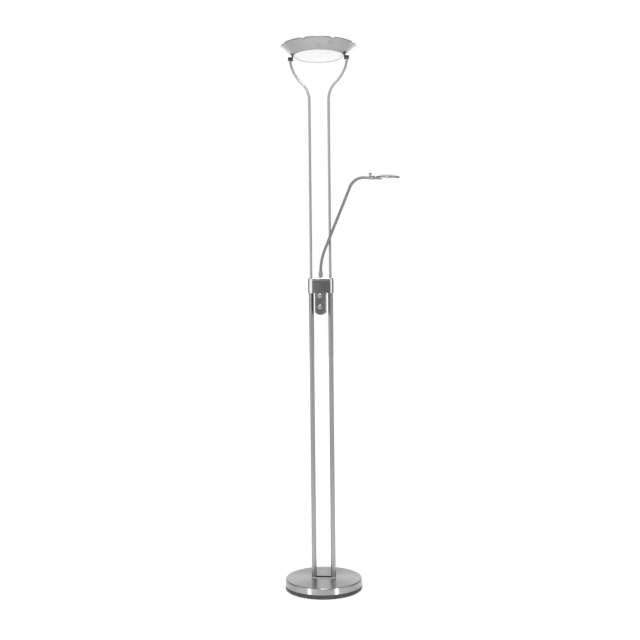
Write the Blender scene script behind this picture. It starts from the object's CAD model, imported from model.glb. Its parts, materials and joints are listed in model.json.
"""Looks of a torchiere floor lamp with a reading arm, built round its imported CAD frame.

Shapes are written in millimetres, in the frame's own axes, and become metres as they are made."""

import json
import math

import bmesh
import bpy
from mathutils import Matrix, Vector


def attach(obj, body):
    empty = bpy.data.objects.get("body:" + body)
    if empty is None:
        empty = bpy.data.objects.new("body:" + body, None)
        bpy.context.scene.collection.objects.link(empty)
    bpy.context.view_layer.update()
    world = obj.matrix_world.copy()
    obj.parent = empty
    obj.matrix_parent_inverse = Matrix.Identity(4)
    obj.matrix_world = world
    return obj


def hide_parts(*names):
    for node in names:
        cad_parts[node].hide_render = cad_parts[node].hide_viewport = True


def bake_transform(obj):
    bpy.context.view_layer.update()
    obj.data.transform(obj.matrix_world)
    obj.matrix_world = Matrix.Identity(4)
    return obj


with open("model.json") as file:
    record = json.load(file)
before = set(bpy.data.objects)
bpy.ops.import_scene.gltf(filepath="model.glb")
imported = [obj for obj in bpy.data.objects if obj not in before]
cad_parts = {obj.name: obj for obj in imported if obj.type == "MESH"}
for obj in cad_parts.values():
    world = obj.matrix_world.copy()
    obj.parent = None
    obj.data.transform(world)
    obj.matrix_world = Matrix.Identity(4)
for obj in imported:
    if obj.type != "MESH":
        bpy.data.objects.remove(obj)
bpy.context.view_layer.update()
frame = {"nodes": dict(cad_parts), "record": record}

MM = 0.001
TAU = 2 * math.pi

# ---------- camera and studio ----------

CAMERA_DISTANCE = 3.064
CAMERA_HEIGHT = 0.945
CAMERA_AZIMUTH = math.radians(6)
CAMERA_ROLL = math.radians(-0.6)
CAMERA_PAN = math.radians(0.07)
CAMERA_PITCH = math.radians(-0.6)
CAMERA_LENS = 51.84
CAMERA_SHIFT_Y = -0.009


def add_camera():
    data = bpy.data.cameras.new("camera")
    data.lens = CAMERA_LENS
    data.sensor_width = 36
    data.shift_y = CAMERA_SHIFT_Y
    camera = bpy.data.objects.new("camera", data)
    bpy.context.collection.objects.link(camera)
    camera.matrix_world = (
        Matrix.Rotation(CAMERA_AZIMUTH, 4, "Z")
        @ Matrix.Translation((0, -CAMERA_DISTANCE, CAMERA_HEIGHT))
        @ Matrix.Rotation(CAMERA_PAN, 4, "Z")
        @ Matrix.Rotation(math.pi / 2 + CAMERA_PITCH, 4, "X")
        @ Matrix.Rotation(CAMERA_ROLL, 4, "Z"))
    bpy.context.scene.camera = camera
    bpy.context.scene.view_settings.view_transform = "Standard"


def area_light(name, place, target, size, watts, spread=180):
    data = bpy.data.lights.new(name, "AREA")
    data.shape = "RECTANGLE"
    data.size, data.size_y = size
    data.energy = watts
    data.spread = math.radians(spread)
    light = bpy.data.objects.new(name, data)
    bpy.context.collection.objects.link(light)
    light.location = place
    light.rotation_euler = (Vector(target) - Vector(place)).to_track_quat("-Z", "Y").to_euler()
    light.visible_camera = False


# The room as the metal sees it: brightness by direction, in degrees round from the camera (its left
# is negative) or up from level
WALLS = ((-180, 1.0), (-160, 1.0), (-148, 0.2), (-94, 0.2), (-84, 1.15), (-10, 1.15), (10, 1.0), (76, 1.0),
         (88, 0.2), (148, 0.2), (160, 1.0), (180, 1.0))
CARD_AROUND = ((-18, 0.0), (-13, 1.0), (30, 1.0), (36, 0.0))
CARD_UP = ((-24, 0.14), (10, 0.14), (13, 0.42), (19, 0.42), (23, 0.06), (90, 0.06))
CEILING = ((38, 1.0), (50, 0.1))
GLOW_UP = ((-8, 0.0), (-4, 1.0), (4, 1.0), (11, 0.0))
GLOW_AROUND = ((-160, 1.0), (-152, 0.0), (152, 0.0), (160, 1.0))
BACK_GLOW = 0.9


def add_world():
    """A photographer's white room: bright walls, a dark card behind the camera, a grey flag on each
    side towards the back, a glow along the foot of the back wall and an unlit ceiling."""
    world = bpy.data.worlds.new("studio")
    bpy.context.scene.world = world
    world.use_nodes = True
    room = Nodes(world.node_tree)
    axes = room.add("ShaderNodeSeparateXYZ", {
        0: room.add("ShaderNodeMapping", {
            "Vector": room.add("ShaderNodeTexCoord").outputs["Generated"],
            "Rotation": (0, 0, -CAMERA_AZIMUTH)}).outputs[0]}).outputs
    around = room.math("ARCTAN2", axes[0], room.math("MULTIPLY", axes[1], -1.0))
    around = room.math("ADD", room.math("DIVIDE", around, TAU), 0.5)
    up = room.math("ADD", room.math("DIVIDE", room.math("ARCSINE", axes[2]), math.pi), 0.5)

    def by_turn(stops):
        return room.ramp(around, [(at / 360 + 0.5, (v,) * 3) for at, v in stops])

    def by_rise(stops):
        return room.ramp(up, [(at / 180 + 0.5, (v,) * 3) for at, v in stops])

    walls = room.mixed(by_turn(WALLS), by_rise(CARD_UP), by_turn(CARD_AROUND))
    glow = room.math("MULTIPLY", room.math("MULTIPLY", by_rise(GLOW_UP), by_turn(GLOW_AROUND)), BACK_GLOW)
    lit = room.math("MULTIPLY", room.math("ADD", walls, glow), by_rise(CEILING))
    seen = room.mixed(lit, 1.0, room.add("ShaderNodeLightPath").outputs["Is Camera Ray"])
    world.node_tree.links.new(seen, world.node_tree.nodes["Background"].inputs["Color"])


# Half the floor's side, and the light that its paper gives by distance from the lamp (metres), to
# the eye and as the metal sees it
FLOOR_SIZE = 14
FLOOR_LIFT = ((0.3, 0.42), (1.4, 0.8))
MIRROR_LIFT = ((0.3, 0.42), (1.4, 0.38), (3.5, 0.38), (7.0, 0.95))


def add_floor():
    mesh = bpy.data.meshes.new("floor")
    corners = [(x * FLOOR_SIZE, y * FLOOR_SIZE, 0) for x, y in ((-1, -1), (1, -1), (1, 1), (-1, 1))]
    mesh.from_pydata(corners, [], [(0, 1, 2, 3)])
    floor = bpy.data.objects.new("floor", mesh)
    bpy.context.collection.objects.link(floor)
    paint = Paint("floor_paper", (0.93, 0.93, 0.93), 0.9)
    paint.vary(paint.noise((3, 3, 3)), (0.92, 0.92, 0.92), (0.94, 0.94, 0.94))
    paint.bump(paint.noise((900, 900, 900)), 0.05, 0.1)
    paint.set(**{"Emission Color": (1, 1, 1, 1)})
    reach = paint.add("ShaderNodeVectorMath", {0: paint.place}, operation="LENGTH").outputs["Value"]
    share = paint.math("DIVIDE", reach, FLOOR_SIZE)

    def lift(stops):
        return paint.ramp(share, [(at / FLOOR_SIZE, (v,) * 3) for at, v in stops])

    glossy = paint.add("ShaderNodeLightPath").outputs["Is Glossy Ray"]
    paint.tree.links.new(paint.mixed(lift(FLOOR_LIFT), lift(MIRROR_LIFT), glossy),
                         paint.shader.inputs["Emission Strength"])
    mesh.materials.append(paint.material)


def from_camera(turn, reach, height):
    """A place this many degrees round from the camera's side, at a distance and height in metres."""
    ray = Matrix.Rotation(CAMERA_AZIMUTH + math.radians(turn), 4, "Z") @ Vector((0, -reach, 0))
    return ray.x, ray.y, height


# Low narrow strips on both sides, whose beams reach only the base
STRIP_REACH, STRIP_RISE, STRIP_HEIGHT = 2.6, 0.2, 0.3
STRIP_WATTS, STRIP_SPREAD = 0.1, 14
FRONT_BOX_WATTS, TOP_WATTS = 58, 16


def add_lights():
    for name, turn, width in (("left_strip", -42, 0.28), ("right_strip", 37, 0.16)):
        area_light(name, from_camera(turn, STRIP_REACH, STRIP_RISE), (0, 0, 0), (width, STRIP_HEIGHT),
                   STRIP_WATTS, STRIP_SPREAD)
    area_light("front_box", from_camera(1, 1.7, 3.3), (0, 0, 0.9), (1.3, 0.5), FRONT_BOX_WATTS)
    area_light("top", (0.2, 0.8, 3.4), (0, 0, 0), (2.4, 2.0), TOP_WATTS)


# ---------- materials ----------

class Nodes:
    """Shorthand for building a node tree."""

    def __init__(self, tree):
        self.tree = tree

    def add(self, kind, inputs=None, **settings):
        node = self.tree.nodes.new(kind)
        for key, value in settings.items():
            setattr(node, key, value)
        for key, value in (inputs or {}).items():
            if isinstance(value, bpy.types.NodeSocket):
                self.tree.links.new(value, node.inputs[key])
            else:
                node.inputs[key].default_value = value
        return node

    def math(self, operation, a, b=0.0):
        return self.add("ShaderNodeMath", {0: a, 1: b}, operation=operation).outputs[0]

    def mixed(self, a, b, share):
        """a and b averaged, with this share of b."""
        return self.add("ShaderNodeMix", {0: share, 2: a, 3: b}).outputs[0]

    def ramp(self, fac, stops):
        """A colour that runs through stops, each a place and a colour."""
        node = self.add("ShaderNodeValToRGB", {"Fac": fac})
        elements = node.color_ramp.elements
        while len(elements) < len(stops):
            elements.new(0.5)
        for element, (place, colour) in zip(elements, stops):
            element.position = place
            element.color = (*colour, 1)
        return node.outputs[0]


class Paint(Nodes):
    """One procedural material, put together from a few kinds of layer. Scales are per metre."""

    def __init__(self, name, colour, rough, metal=0.0, centre=(0, 0, 0), turn=(0, 0, 0)):
        self.material = bpy.data.materials.new(name)
        self.material.use_nodes = True
        super().__init__(self.material.node_tree)
        self.shader = self.tree.nodes["Principled BSDF"]
        self.set(**{"Base Color": (*colour, 1), "Roughness": rough, "Metallic": metal})
        self.place = self.add("ShaderNodeMapping", {
            "Vector": self.add("ShaderNodeTexCoord").outputs["Object"],
            "Location": centre, "Rotation": turn}, vector_type="TEXTURE").outputs[0]
        self.height = None

    def set(self, **values):
        for key, value in values.items():
            self.shader.inputs[key].default_value = value

    def noise(self, stretch, detail=3.0, rough=0.55, vector=None):
        """Noise, 0 to 1, with its own scale along each axis."""
        scaled = self.add("ShaderNodeMapping", {"Vector": vector or self.place, "Scale": stretch})
        return self.add("ShaderNodeTexNoise", {
            "Vector": scaled.outputs[0], "Scale": 1.0, "Detail": detail, "Roughness": rough}).outputs[0]

    def ring_grain(self, across, along, detail=3.0):
        """Fine lines that run round the local Z axis, as turning or a rotary brush leaves them."""
        axes = self.add("ShaderNodeSeparateXYZ", {0: self.place}).outputs
        flat = self.add("ShaderNodeCombineXYZ", {0: axes[0], 1: axes[1]}).outputs[0]
        radius = self.add("ShaderNodeVectorMath", {0: flat}, operation="LENGTH").outputs["Value"]
        lane = self.math("MULTIPLY", self.math("ADD", radius, axes[2]), across / along)
        vector = self.add("ShaderNodeCombineXYZ", {0: axes[0], 1: axes[1], 2: lane}).outputs[0]
        return self.noise((along, along, along), detail, 0.6, vector)

    def speckle(self, scale):
        return self.add("ShaderNodeTexVoronoi", {"Vector": self.place, "Scale": scale}).outputs["Distance"]

    def vary(self, fac, dark, light, low=0.3, high=0.7):
        """Base colour from dark to light as fac runs from low to high."""
        self.tree.links.new(self.ramp(fac, [(low, dark), (high, light)]), self.shader.inputs["Base Color"])

    def roughen(self, fac, smooth, rough, low=0.25, high=0.75):
        spread = self.add("ShaderNodeMapRange", {
            "Value": fac, "From Min": low, "From Max": high, "To Min": smooth, "To Max": rough})
        self.tree.links.new(spread.outputs[0], self.shader.inputs["Roughness"])

    def bump(self, fac, strength, distance_mm):
        """Adds a layer of relief on top of those already there."""
        inputs = {"Height": fac, "Strength": strength, "Distance": distance_mm * MM}
        if self.height:
            inputs["Normal"] = self.height
        self.height = self.add("ShaderNodeBump", inputs).outputs[0]
        self.tree.links.new(self.height, self.shader.inputs["Normal"])

    def turned(self, amount):
        """Stretches highlights across the brush lines, as on metal turned about its own Z axis."""
        self.set(**{"Anisotropic": amount, "Anisotropic Rotation": 0.25})
        tangent = self.add("ShaderNodeTangent", direction_type="RADIAL", axis="Z")
        self.tree.links.new(tangent.outputs[0], self.shader.inputs["Tangent"])


def grey(value, warmth=0.0):
    return (value * (1 + warmth), value, value * (1 - warmth))


def brushed(name, tone, rough, across, along, lengthwise=False, contrast=0.1, turned=0.0, lacquer=0.0,
            **place):
    """Satin metal with fine brush lines, round the local Z axis or along it, lacquered or bare."""
    paint = Paint(name, grey(tone), rough, 1.0, **place)
    if lengthwise:
        fine = paint.noise((across, across, along), 4)
        coarse = paint.noise((across / 5, across / 5, along / 2), 2)
    else:
        fine = paint.ring_grain(across, along, 4)
        coarse = paint.ring_grain(across / 6, along / 2, 2)
    lines = paint.mixed(fine, coarse, 0.4)
    cloud = paint.noise((14, 14, 14), 3)
    paint.vary(paint.mixed(lines, cloud, 0.3), grey(tone * (1 - contrast)), grey(tone * (1 + contrast)))
    paint.roughen(paint.mixed(fine, cloud, 0.35), rough - 0.06, rough + 0.08)
    paint.bump(fine, 0.1, 0.02)
    if turned:
        paint.turned(turned)
    if lacquer:
        paint.set(**{"Coat Weight": lacquer, "Coat Roughness": 0.15})
    return paint.material


def polished(name, tone, rough, warmth=0.0, scratch=1500, **place):
    """Plated metal: a mirror with faint wipe marks and hairline scratches."""
    paint = Paint(name, grey(tone, warmth), rough, 1.0, **place)
    haze = paint.noise((22, 22, 22), 4)
    hair = paint.noise((scratch, scratch / 12, scratch / 3), 2)
    paint.vary(haze, grey(tone * 0.95, warmth), grey(tone * 1.03, warmth))
    paint.roughen(paint.mixed(haze, hair, 0.4), rough * 0.6, rough * 1.7)
    paint.bump(hair, 0.04, 0.01)
    return paint.material


def moulded(name, tone, rough, grain=1400, spread=0.12, warmth=0.0):
    """Moulded plastic or rubber with a fine spark-eroded grain."""
    paint = Paint(name, grey(tone, warmth), rough)
    cloud = paint.noise((30, 30, 30), 4)
    paint.vary(cloud, grey(tone * (1 - spread), warmth), grey(tone * (1 + spread), warmth))
    cells = paint.speckle(grain)
    paint.roughen(paint.mixed(cells, cloud, 0.5), rough - 0.07, rough + 0.1, 0.2, 0.8)
    paint.bump(cells, 0.25, 0.06)
    return paint.material


def cast(name, tone, rough, metal, grain=420, lumps=90):
    """A cast or pressed skin: small lumps under a finer, sharper grain."""
    paint = Paint(name, grey(tone), rough, metal)
    coarse = paint.noise((lumps, lumps, lumps), 4)
    fine = paint.noise((grain, grain, grain), 3)
    paint.vary(paint.mixed(coarse, fine, 0.4), grey(tone * 0.8), grey(tone * 1.15))
    paint.roughen(fine, rough - 0.1, rough + 0.1)
    paint.bump(coarse, 0.2, 0.3)
    paint.bump(fine, 0.25, 0.08)
    return paint.material


def circuit_board():
    """Green solder mask with a faint weave and paler tracks under it."""
    paint = Paint("circuit_board", (0.03, 0.16, 0.07), 0.35)
    tracks = paint.add("ShaderNodeTexBrick", {
        "Vector": paint.place, "Scale": 160.0, "Mortar Size": 0.03, "Color1": (0.02, 0.13, 0.05, 1),
        "Color2": (0.03, 0.17, 0.07, 1), "Mortar": (0.06, 0.28, 0.12, 1)})
    paint.tree.links.new(tracks.outputs["Color"], paint.shader.inputs["Base Color"])
    paint.roughen(paint.noise((300, 300, 300)), 0.28, 0.45)
    paint.bump(tracks.outputs["Fac"], 0.3, 0.04)
    return paint.material


def glowing(name, tone, rough, glow, grain=700, warmth=0.0, **shader):
    """A white diffusing part that passes light from behind it, brightest where it is thin."""
    paint = Paint(name, grey(tone, warmth), rough)
    cloud = paint.noise((26, 26, 26), 3)
    paint.vary(cloud, grey(tone * 0.97, warmth), grey(min(tone * 1.02, 1), warmth))
    frost = paint.noise((grain, grain, grain), 3)
    paint.roughen(frost, rough - 0.08, rough + 0.1)
    paint.bump(frost, 0.15, 0.03)
    paint.set(**{"Emission Color": (*grey(1.0, warmth), 1), "Emission Strength": glow, **shader})
    return paint.material


def emitter():
    """Yellow phosphor under clear resin."""
    paint = Paint("led_emitter", (0.85, 0.66, 0.2), 0.3)
    paint.vary(paint.noise((900, 900, 900)), (0.72, 0.5, 0.1), (0.9, 0.74, 0.28))
    paint.roughen(paint.speckle(1500), 0.2, 0.4)
    paint.bump(paint.speckle(1500), 0.1, 0.03)
    paint.set(**{"Coat Weight": 0.6, "Coat Roughness": 0.05})
    return paint.material


def fibre():
    """Pressed friction fibre: dark, with short lighter strands."""
    paint = Paint("friction_fibre", grey(0.03), 0.85)
    strands = paint.noise((1800, 260, 260), 4)
    paint.vary(strands, grey(0.016), grey(0.06))
    paint.roughen(strands, 0.75, 0.95)
    paint.bump(strands, 0.4, 0.08)
    return paint.material


# The reading head's own axes and centre, which its brush lines follow
ARM_TURN = math.radians(-18)
HEAD_DROP = math.radians(4.2)
HEAD_ROLL = math.radians(6)
HEAD_TURN = (HEAD_ROLL, HEAD_DROP, ARM_TURN)
HEAD_CENTRE = (0.22852, -0.07403, 1.35223)

FINISHES = {
    "anti_slip_pad": moulded("anti_slip_pad", 0.03, 0.85, grain=600, spread=0.25),
    "black_plastic": moulded("black_plastic", 0.032, 0.42),
    "steel_hardware": polished("steel_hardware", 0.46, 0.28, 0.01),
    "cast_iron": cast("cast_iron", 0.10, 0.6, 0.6),
    "brushed_steel_base": brushed("brushed_steel_base", 0.38, 0.27, 2600, 16, turned=0.9),
    "brass": polished("brass", 0.5, 0.25, 0.25),
    "white_plastic": moulded("white_plastic", 0.8, 0.4, spread=0.03),
    "brushed_steel_tube": brushed("brushed_steel_tube", 0.35, 0.25, 2200, 22, lengthwise=True),
    "brushed_steel_rod": brushed("brushed_steel_rod", 0.44, 0.36, 2200, 22, lengthwise=True, contrast=0.05),
    "foot_steel": cast("foot_steel", 0.6, 0.4, 0.5),
    "polished_chrome": polished("polished_chrome", 0.76, 0.07),
    "knob_chrome": polished("knob_chrome", 0.36, 0.26),
    "zinc_casting": cast("zinc_casting", 0.42, 0.4, 1.0),
    "black_nickel": polished("black_nickel", 0.11, 0.3),
    "dark_plastic": moulded("dark_plastic", 0.105, 0.36, spread=0.08),
    "circuit_board": circuit_board(),
    "white_board": moulded("white_board", 0.82, 0.32, grain=2200, spread=0.02),
    "led_emitter": emitter(),
    "gooseneck_steel": polished("gooseneck_steel", 0.26, 0.24),
    "head_metal": brushed("head_metal", 0.32, 0.2, 3200, 30, centre=HEAD_CENTRE, turn=HEAD_TURN),
    "aluminium": brushed("aluminium", 0.66, 0.4, 1800, 40, lengthwise=True),
    "opal_diffuser": glowing("opal_diffuser", 0.74, 0.38, 0.06),
    "frosted_glass": glowing("frosted_glass", 0.7, 0.5, 0.04, **{"Coat Weight": 0.3, "Coat Roughness": 0.2}),
    "dish_bead": brushed("dish_bead", 0.2, 0.2, 2400, 14),
    "brushed_steel_dish": brushed("brushed_steel_dish", 0.4, 0.3, 2400, 14, turned=0.7, lacquer=1.0),
    "friction_fibre": fibre(),
}

# ---------- mesh making ----------

def show(mesh, name, body, nodes, slot, sharp=32, finish=None):
    """Makes a mesh, given in millimetres, into a piece that rides on a body and stands for nodes."""
    mesh.transform(Matrix.Scale(MM, 4))
    mesh.shade_smooth()
    mesh.set_sharp_from_angle(angle=math.radians(sharp))
    obj = bpy.data.objects.new(name, mesh)
    bpy.context.collection.objects.link(obj)
    mesh.materials.clear()
    mesh.materials.append(FINISHES[finish or slot])
    flat = obj.modifiers.new("flat_faces", "WEIGHTED_NORMAL")
    flat.keep_sharp = True
    if nodes:
        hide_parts(*nodes)
    if body:
        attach(obj, body)
    return obj


def mesh_of(verts, faces):
    mesh = bpy.data.meshes.new("piece")
    mesh.from_pydata(verts, [], faces)
    shape = bmesh.new()
    shape.from_mesh(mesh)
    bmesh.ops.remove_doubles(shape, verts=shape.verts, dist=1e-5)
    bmesh.ops.recalc_face_normals(shape, faces=shape.faces)
    shape.to_mesh(mesh)
    shape.free()
    return mesh


def rounded(profile, default=0.0):
    """A polyline's points, each with its own corner radius as an optional third value."""
    points = []
    for i, (x, y, *rest) in enumerate(profile):
        radius = rest[0] if rest else default
        here = Vector((x, y))
        if radius <= 0 or i in (0, len(profile) - 1):
            points.append((x, y))
            continue
        back = Vector(profile[i - 1][:2]) - here
        on = Vector(profile[i + 1][:2]) - here
        half = back.angle(on) / 2
        reach = min(radius / math.tan(half), 0.49 * back.length, 0.49 * on.length)
        a, b = here + back.normalized() * reach, here + on.normalized() * reach
        steps = 5
        for k in range(steps + 1):
            t = k / steps
            p = (1 - t) ** 2 * a + 2 * t * (1 - t) * here + t ** 2 * b
            points.append((p.x, p.y))
    return points


def lathe(profile, sides=96, place=Matrix()):
    """A closed solid turned about its local Z axis from (radius, height) points. Points that start
    off the axis run round a bore. profile may be a function of the angle, to flute or scallop it."""
    at = profile if callable(profile) else (lambda angle: profile)
    rings = [at(TAU * i / sides) for i in range(sides)]
    n = len(rings[0])
    verts = [place @ Vector((r * math.cos(TAU * i / sides), r * math.sin(TAU * i / sides), z))
             for i, ring in enumerate(rings) for r, z in ring]
    on_axis = [r <= 1e-6 for r, z in rings[0]]
    faces = []
    for i in range(sides):
        j = (i + 1) % sides
        for k in range(n - 1 if on_axis[0] else n):
            m = (k + 1) % n
            corners = [i * n + k, j * n + k, j * n + m, i * n + m]
            if on_axis[k]:
                corners.remove(j * n + k)
            if on_axis[m]:
                corners.remove(j * n + m)
            faces.append(corners)
    return mesh_of(verts, faces)


def prism(outline, levels, place=Matrix()):
    """A closed solid with this counter-clockwise outline, shrunk by levels' insets at their heights."""
    n = len(outline)
    points = [Vector(p) for p in outline]
    normals = []
    for i in range(n):
        a = (points[i] - points[i - 1]).normalized()
        b = (points[(i + 1) % n] - points[i]).normalized()
        inward = Vector((-a.y - b.y, a.x + b.x))
        normals.append(inward.normalized() / max(0.3, inward.length / 2))
    verts = [place @ Vector((*(p + normal * inset), z))
             for z, inset in levels for p, normal in zip(points, normals)]
    faces = [[k * n + i, k * n + (i + 1) % n, (k + 1) * n + (i + 1) % n, (k + 1) * n + i]
             for k in range(len(levels) - 1) for i in range(n)]
    faces += [list(range(n))[::-1], [(len(levels) - 1) * n + i for i in range(n)]]
    return mesh_of(verts, faces)


def edge_levels(z0, z1, low, high, steps=5):
    """Levels for a prism from z0 to z1 with rounded edges of these radii at its two ends."""
    quarter = [math.pi / 2 * k / steps for k in range(steps + 1)]
    return ([(z0 + low * (1 - math.sin(a)), low * (1 - math.cos(a))) for a in quarter[::-1]]
            if low else [(z0, 0)]) + (
            [(z1 - high * (1 - math.sin(a)), high * (1 - math.cos(a))) for a in quarter]
            if high else [(z1, 0)])


def combine(base, others, operation="DIFFERENCE"):
    """One mesh with the others cut out of it or joined to it."""
    holder = bpy.data.objects.new("base", base)
    bpy.context.collection.objects.link(holder)
    tools = []
    for other in others:
        tool = bpy.data.objects.new("tool", other)
        bpy.context.collection.objects.link(tool)
        tools.append(tool)
        modifier = holder.modifiers.new("cut", "BOOLEAN")
        modifier.operation = operation
        modifier.solver = "EXACT"
        modifier.object = tool
    result = bpy.data.meshes.new_from_object(
        holder.evaluated_get(bpy.context.evaluated_depsgraph_get()))
    for obj in (holder, *tools):
        bpy.data.objects.remove(obj)
    return result


def refined(name, node, body, width=0.25, finish=None, angle=32):
    """A CAD node's own shape with its sharp edges rounded, to catch light as real edges do."""
    shape = bmesh.new()
    shape.from_mesh(frame["nodes"][node].data)
    bmesh.ops.scale(shape, vec=(1 / MM,) * 3, verts=shape.verts)
    bmesh.ops.remove_doubles(shape, verts=shape.verts, dist=2e-3)
    bmesh.ops.dissolve_limit(shape, angle_limit=math.radians(0.5), verts=shape.verts, edges=shape.edges)
    edges = [e for e in shape.edges
             if len(e.link_faces) == 2 and e.calc_face_angle(0) > math.radians(angle)]
    bmesh.ops.bevel(shape, geom=edges, offset=width, segments=2, profile=0.5,
                    affect="EDGES", clamp_overlap=True)
    mesh = bpy.data.meshes.new(name)
    shape.to_mesh(mesh)
    shape.free()
    return show(mesh, name, body, [node], SLOT_OF[node], 40, finish)


def route(start, heading, legs, step=2.0):
    """Points (x, z, heading, length so far) along legs of (length, turn), in an upright plane.
    Headings are angles from +Z towards +X."""
    x, z = start
    points, run = [(x, z, heading, 0.0)], 0.0
    for length, turn in legs:
        count = max(1, math.ceil(length / step))
        for _ in range(count):
            middle = heading + turn / count / 2
            half = abs(turn / count / 2)
            chord = length / count * (math.sin(half) / half if half > 1e-9 else 1)
            x += chord * math.sin(middle)
            z += chord * math.cos(middle)
            heading += turn / count
            run += length / count
            points.append((x, z, heading, run))
    return points


def sweep(points, radius, sides=32, place=Matrix()):
    """A closed solid along a route. radius is a number or a function of (angle, length)."""
    size = radius if callable(radius) else (lambda angle, run: radius)
    verts, faces = [], []
    for x, z, heading, run in points:
        across = Vector((math.cos(heading), 0, -math.sin(heading)))
        for i in range(sides):
            angle = TAU * i / sides
            ray = across * math.cos(angle) + Vector((0, math.sin(angle), 0))
            verts.append(place @ (Vector((x, 0, z)) + ray * size(angle, run)))
    last = len(points) - 1
    for k in range(last):
        for i in range(sides):
            j = (i + 1) % sides
            faces.append([k * sides + i, k * sides + j, (k + 1) * sides + j, (k + 1) * sides + i])
    faces += [list(range(sides)), [last * sides + i for i in range(sides)]]
    return mesh_of(verts, faces)


# Turns local Z to run along -Y, which is forward
FACING_FRONT = Matrix.Rotation(math.pi / 2, 4, "X")

SLOT_OF = {part["node"]: part["material_slot"] for part in frame["record"]["subparts"]}
BODY_OF = {node: body for body, nodes in frame["record"]["behaviour"]["bodies"].items() for node in nodes}

# ---------- base ----------

BASE_R = 128
BASE_H = 36
TRAY_H = 15
COVER_SKIN = 1.2


def add_base():
    hem = TRAY_H + 0.1
    under = BASE_H - COVER_SKIN
    cover = rounded([
        (0, BASE_H), (BASE_R - 1, BASE_H, 4.0), (BASE_R, hem, 0.5), (BASE_R - COVER_SKIN, hem, 0.3),
        (BASE_R - 1 - COVER_SKIN, under, 2.8), (0, under)])
    show(lathe(cover, 256), "base_cover_skin", "stand", ["base_cover"], "brushed_steel_base")
    tray_r = BASE_R - 1
    tray = rounded([
        (0, 2), (tray_r, 2, 1.2), (tray_r, 8, 0.5), (tray_r - 0.9, 8.9, 0.4), (tray_r - 0.9, TRAY_H, 0.4),
        (tray_r - 2.5, TRAY_H, 0.4), (tray_r - 2.5, 5), (0, 5)])
    show(lathe(tray, 256), "base_tray_skin", "stand", ["base_tray"], "black_plastic")


# ---------- column ----------

COLUMN_X = 32
TUBE_R, TUBE_BORE_R, TUBE_TOP = 8, 6.8, 1002
ROD_R, ROD_FOOT = 4, 1004
STRAIGHT_STEP, BENT_STEP = 103, 3
SPREAD_Z = 1622
SPREAD = math.radians(46.8)
TIP_LEAN = math.radians(6.2)
LOWER_BEND, UPPER_BEND = 82, 118


def add_column():
    for side, label in ((-1, "left"), (1, "right")):
        tube = rounded([(TUBE_BORE_R, BASE_H), (TUBE_R, BASE_H, 0.25), (TUBE_R, TUBE_TOP, 0.3),
                        (TUBE_BORE_R, TUBE_TOP)])
        show(lathe(tube, 48, Matrix.Translation((side * COLUMN_X, 0, 0))),
             f"tube_{label}", "stand", [f"lower_tube_{label}"], "brushed_steel_tube")
        straight = route((COLUMN_X, ROD_FOOT), 0, [(SPREAD_Z - ROD_FOOT, 0)], STRAIGHT_STEP)
        bends = [(LOWER_BEND * SPREAD, SPREAD), (UPPER_BEND * (SPREAD - TIP_LEAN), TIP_LEAN - SPREAD)]
        bent = route((COLUMN_X, SPREAD_Z), 0, bends, BENT_STEP)
        show(sweep(straight + bent[1:], ROD_R, 32, Matrix.Diagonal((side, 1, 1, 1))),
             f"rod_{label}", "stand", [f"upper_rod_{label}"], "brushed_steel_tube",
             finish="brushed_steel_rod")


# ---------- bracket and dimmer ----------

BRACKET = {"z0": 983, "z1": 1033, "half": 43, "r": 16}
# The polished top of the bracket draws in over this height, by this much at the very top
CROWN_H, CROWN_IN = 18, 3.0
HOUSING = {"half": 17.5, "z0": 911, "z1": 982.8, "arc_r": 21.5, "arc_h": 9}
KNOBS = (("main", 974), ("reading", 937))
DIMMER_SCREWS = (923, 957.5)


def stadium(half, r, steps=24):
    """Outline with two round ends along X."""
    return [(side * (half - r) + r * math.cos(a), r * math.sin(a))
            for side, first in ((1, -math.pi / 2), (-1, math.pi / 2))
            for a in (first + math.pi * k / steps for k in range(steps + 1))]


def add_bracket():
    z0, z1 = BRACKET["z0"], BRACKET["z1"]
    crown = [(z1 - CROWN_H * (1 - math.sin(a)), CROWN_IN * (1 - math.cos(a)) ** 1.3)
             for a in (math.pi / 2 * k / 16 for k in range(17))]
    outer = prism(stadium(BRACKET["half"], BRACKET["r"]), edge_levels(z0, z1, 0.5, 0)[:-1] + crown)
    inner = prism(stadium(BRACKET["half"] - 2, BRACKET["r"] - 2), [(z0 - 1, 0), (z1 - 3, 0)])
    holes = [lathe([(0, z1 - 4), (4.15, z1 - 4), (4.15, z1 + 1), (0, z1 + 1)], 40,
                   Matrix.Translation((x, 0, 0))) for x in (-COLUMN_X, COLUMN_X)]
    holes.append(lathe([(0, z1 - 4), (5.1, z1 - 4), (5.1, z1 + 1), (0, z1 + 1)], 40))
    holes += [lathe([(0, -30), (2.3, -30), (2.3, -10), (0, -10)], 24,
                    Matrix.Translation((x, 0, z)) @ FACING_FRONT)
              for x in (-COLUMN_X, COLUMN_X) for z in (z0 + 11, z0 + 33)]
    show(combine(outer, [inner] + holes), "bracket_skin", "stand", ["bracket_shell"], "polished_chrome")


def housing_outline(inset, steps=16):
    """Front view of the dimmer housing: straight sides over an arched bottom."""
    half, arc_r = HOUSING["half"] - inset, HOUSING["arc_r"] - inset
    bottom, top = HOUSING["z0"] + inset, HOUSING["z1"] - inset
    spread = math.asin(half / arc_r)
    arc = [(arc_r * math.sin(a), bottom + arc_r * (1 - math.cos(a)))
           for a in (spread * (2 * k / steps - 1) for k in range(steps + 1))]
    corner = 1.2
    top_arc = [(half - corner + corner * math.cos(a), top - corner + corner * math.sin(a))
               for a in (math.pi / 2 * k / 4 for k in range(5))]
    return arc + top_arc + [(-x, z) for x, z in top_arc[::-1]]


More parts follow.
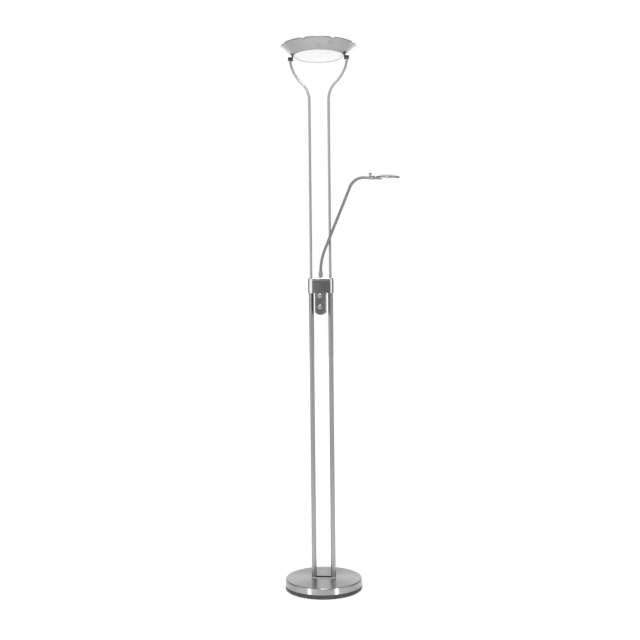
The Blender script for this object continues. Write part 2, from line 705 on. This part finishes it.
def add_dimmer():
    def half_shell(near, far, near_edge, far_edge, cuts):
        """One half of the housing between two distances forward of the tubes' axes."""
        outer = prism(housing_outline(0), edge_levels(near, far, near_edge, far_edge), FACING_FRONT)
        return combine(outer, cuts)

    def core(near, far):
        return prism(housing_outline(2), [(near, 0), (far, 0)], FACING_FRONT)

    def bore(r, near, far, z):
        return lathe([(0, near), (r, near), (r, far), (0, far)], 40,
                     Matrix.Translation((0, 0, z)) @ FACING_FRONT)

    show(half_shell(4, 26, 0.3, 1.6, [core(3, 24)] + [bore(3.4, 20, 30, z) for _, z in KNOBS]),
         "housing_front", "stand", ["dimmer_front_shell"], "dark_plastic")
    show(half_shell(-12, 3.9, 1.6, 0.3, [core(-10, 5)] + [bore(2.9, -14, -10.2, z) for z in DIMMER_SCREWS]),
         "housing_back", "stand", ["dimmer_back_shell"], "dark_plastic")
    ring = knob_profile()
    for label, z in KNOBS:
        show(lathe(lambda angle: fluted(ring, angle), 224, Matrix.Translation((0, 0, z)) @ FACING_FRONT),
             f"{label}_knob_turned", f"{label}_dial", [f"{label}_knob"], "polished_chrome",
             finish="knob_chrome")


KNOB_R = 8
FLUTES, FLUTE_DEPTH = 28, 0.28
FLUTED_FROM, FLUTED_TO = 27.2, 35.4


def fluted(ring, angle):
    """A knob's section at one angle, cut in where a flute runs along its side."""
    dip = FLUTE_DEPTH * (0.5 - 0.5 * math.cos(FLUTES * angle)) ** 2
    return [(r - dip if r > KNOB_R - 0.1 and FLUTED_FROM < h < FLUTED_TO else r, h) for r, h in ring]


def knob_profile():
    """Section of a knob, as distances from its axis and forward of the tubes' axes: a domed front over
    fluted sides."""
    face_r, top, sag = 7.2, 38.35, 1.7
    big = (face_r ** 2 + sag ** 2) / (2 * sag)
    face = [(face_r * k / 8, top - big + math.sqrt(big ** 2 - (face_r * k / 8) ** 2)) for k in range(9)]
    back, bore_r, bore_end = 26.4, 3.1, 34.4
    side = [(KNOB_R, 26.9 + k) for k in range(9)]
    return rounded([*face, (KNOB_R, 36.0, 0.5), *side[::-1], (KNOB_R, back, 0.4), (bore_r, back),
                    (bore_r, bore_end), (0, bore_end)])


# ---------- reading arm ----------

ARM = Matrix.Rotation(ARM_TURN, 4, "Z")
NECK_R = 4.6
NECK_START_Z = 1052.4
NECK_IN = 12
LOW_BEND, HIGH_BEND = 180, 50
LEAN = math.radians(24.5)
TOP_TURN = math.radians(69.7)
RUN = 220
FERRULE_IN = 29
# The wound sleeve's turns, how far it overlaps at a cut, and how far each side of a hinge it bends
COIL_PITCH, STEPS_PER_TURN = 2.6, 8
OVERLAP = 0.5


def coil(angle, run):
    """Radius of the wound sleeve: a round wire with a thinner one pressed between its turns."""
    phase = (run / COIL_PITCH - angle / TAU) % 1.0
    return NECK_R + 0.12 - 0.42 * (1 - math.sin(math.pi * phase) ** 0.6)


def add_arm():
    show(lathe(rounded([
        (4.75, 1033.2), (6.75, 1033.2, 0.4), (6.75, 1046.4, 0.3), (6.35, 1046.9, 0.2), (6.35, 1047.5, 0.2),
        (6.75, 1048, 0.3), (6.75, 1055, 1.3), (4.75, 1055, 0.4)]), 64),
        "socket_skin", "arm_root", ["arm_socket"], "polished_chrome", finish="knob_chrome")

    low = NECK_IN + LOW_BEND * LEAN
    line = route((0, NECK_START_Z - NECK_IN), 0, [
        (NECK_IN, 0), (LOW_BEND * LEAN, LEAN), (RUN, 0), (HIGH_BEND * TOP_TURN, TOP_TURN), (FERRULE_IN, 0)],
        COIL_PITCH / STEPS_PER_TURN)
    cuts = (0, low + RUN / 4, low + RUN * 3 / 4, line[-1][3])
    parts = (("hose_low", "arm_root", "arm_lower", 0, ["neck_root"]),
             ("hose_middle", "arm_lower", "arm_upper", RUN / 2, ["neck_lower"]),
             ("hose_high", "arm_upper", "arm_tip", RUN, ["neck_upper", "neck_tip"]))
    for k, (name, below, above, at, nodes) in enumerate(parts):
        stretch = [p for p in line if cuts[k] - OVERLAP <= p[3] <= cuts[k + 1] + OVERLAP]
        hose = show(sweep(stretch, coil, 20, ARM), name, None, nodes, "gooseneck_steel", sharp=60)
        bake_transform(hose)


# ---------- reading head ----------

TIP = Vector((156.599, 0, 1356.367))
HEAD_R = 37.5
HEAD_OUT, HEAD_UP = 83.5, 2
HEAD_LOCAL = (ARM @ Matrix.Translation(TIP) @ Matrix.Rotation(HEAD_DROP, 4, "Y")
              @ Matrix.Rotation(HEAD_ROLL, 4, "X") @ Matrix.Translation((HEAD_OUT, 0, HEAD_UP)))


def add_head():
    rim, dome, skin = 2.5, 6, 1.2

    def dome_z(r):
        big = (HEAD_R ** 2 + dome ** 2) / (2 * dome)
        return rim + dome - big + math.sqrt(big ** 2 - r ** 2)

    radii = [HEAD_R * k / 14 for k in range(15)]
    outside = [(r, dome_z(r)) for r in radii[:-1]]
    inside = [(r * (HEAD_R - skin) / HEAD_R, dome_z(r) - skin) for r in radii[-2::-1]]
    edge = rounded([outside[-1], (HEAD_R, rim, 2.4), (HEAD_R, -rim, 0.7), (HEAD_R - skin, -rim, 0.3),
                    inside[0]])[1:-1]
    show(lathe(outside + edge + inside, 160, HEAD_LOCAL), "head_shell", "reading_head",
         ["head_cap"], "head_metal")
    lens_r = HEAD_R - skin - 0.2
    lens = rounded([(0, -rim - 0.8), (lens_r / 2, -rim - 0.62), (lens_r, -rim, 0.5), (lens_r, -rim + 1),
                    (0, -rim + 1)], 0)
    show(lathe(lens, 128, HEAD_LOCAL), "head_lens", "reading_head", ["head_diffuser"], "opal_diffuser")


# ---------- dish ----------

RIM_R, RIM_Z, DISH_Z = 126, 1800, 1768
WALL_R, WALL_CENTRE = 117.69, (35.5, 1875.2)
LOBES, FIRST_LOBE = 8, math.radians(-85)
NOTCH_REACH, NOTCH_DEPTH = 10, 3.2
BEAD = 1.4


def wall_at(z, skin=0.0):
    return WALL_CENTRE[0] + math.sqrt((WALL_R - skin) ** 2 - (WALL_CENTRE[1] - z) ** 2)


def rim_top(angle):
    """Height of the rim's top at one angle, and how far it is into a notch, from 0 to 1."""
    lobe = TAU / LOBES
    off = abs((angle - FIRST_LOBE) % lobe - lobe / 2) * RIM_R
    notch = math.cos(min(off / NOTCH_REACH, 1) * math.pi / 2) ** 2
    return RIM_Z - 0.05 - NOTCH_DEPTH * notch, notch


def add_dish():
    lip_r, skin = 80.5, 1.2

    def edge_at(angle):
        """Top of the wall at one angle: its radius and height, and the wall's pinch below it."""
        top, notch = rim_top(angle)
        bow = 0.4 * (1 - math.cos((angle - FIRST_LOBE) * LOBES)) / 2
        return top - BEAD, 0.8 * notch + bow

    def scalloped(angle):
        """The wall's section at one angle: lower and pinched in at the notches between lobes."""
        top, pinch = edge_at(angle)
        rows = 18
        outer, inner = [], []
        for k in range(rows + 1):
            t = k / rows
            z = DISH_Z + 1.2 + (top - DISH_Z - 1.2) * t
            outer.append((wall_at(z) - pinch * t ** 2, z))
            inner.append((wall_at(z, skin) - pinch * t ** 2, z))
        foot = [(lip_r, DISH_Z), (83.0, DISH_Z), (83.8, DISH_Z + 0.3)]
        back = [(inner[0][0] - 0.2, DISH_Z + skin), (lip_r, DISH_Z + skin)]
        return foot + outer + inner[::-1] + back

    def beaded(angle):
        """The rolled bead along the wall's top edge at one angle."""
        top, pinch = edge_at(angle)
        mid = wall_at(top) - pinch - BEAD + 0.15
        return [(mid + BEAD * math.cos(a), top + BEAD * math.sin(a))
                for a in (TAU * k / 14 for k in range(14))]

    show(lathe(scalloped, 320), "dish_wall", "dish", ["dish_shell"], "brushed_steel_dish", sharp=45)
    show(lathe(beaded, 320), "dish_rim_bead", "dish", [], "brushed_steel_dish", 60, "dish_bead")

    bowl_r, top_z, sag = 80, 1772.3, 3.8
    face = 1769.3
    big = (bowl_r ** 2 + sag ** 2) / (2 * sag)
    belly = [(bowl_r * k / 12, face - sag + big - math.sqrt(big ** 2 - (bowl_r * k / 12) ** 2))
             for k in range(13)]
    rim = wall_at(face, skin) - 0.4
    show(lathe(belly + rounded([(bowl_r, face), (rim, face, 0.4), (rim, top_z, 0.4), (0, top_z)])[1:], 160),
         "glass_disc", "dish", ["dish_glass"], "frosted_glass")
    lens = rounded([(0, 1796.4), (57, 1796.4, 7.0), (57, 1781.0), (55.5, 1781.0), (55.5, 1794.9, 5.5),
                    (0, 1794.9)])
    show(lathe(lens, 128), "opal_cover", "dish", ["main_diffuser"], "opal_diffuser")


# ---------- the rest of the CAD ----------

ROUNDED_NODES = {
    "cable_grommet": 0.3, "foot_plate": 0.9, "rod_tips": 0.3, "bracket_floor": 0.25, "head_ferrule": 0.3,
    "head_thumbscrew": 0.25, "head_fork": 0.3, "head_pin": 0.2, "dish_lugs": 0.4,
    "friction_washers": 0.25, "pivot_screws": 0.3, "led_spider": 0.3, "grub_screws": 0.2,
    "dimmer_screws": 0.25, "tray_screws": 0.2,
}

# Nodes whose plating differs a little from their slot's usual look
OWN_FINISH = {"foot_plate": "foot_steel", "head_ferrule": "knob_chrome", "head_thumbscrew": "knob_chrome"}


def finish_nodes():
    for node, width in ROUNDED_NODES.items():
        refined(f"{node}_rounded", node, BODY_OF[node], width, OWN_FINISH.get(node))
    for node, obj in frame["nodes"].items():
        obj.data.materials.clear()
        obj.data.materials.append(FINISHES[SLOT_OF[node]])


add_camera()
add_world()
add_floor()
add_lights()
add_base()
add_column()
add_bracket()
add_dimmer()
add_arm()
add_head()
add_dish()
finish_nodes()
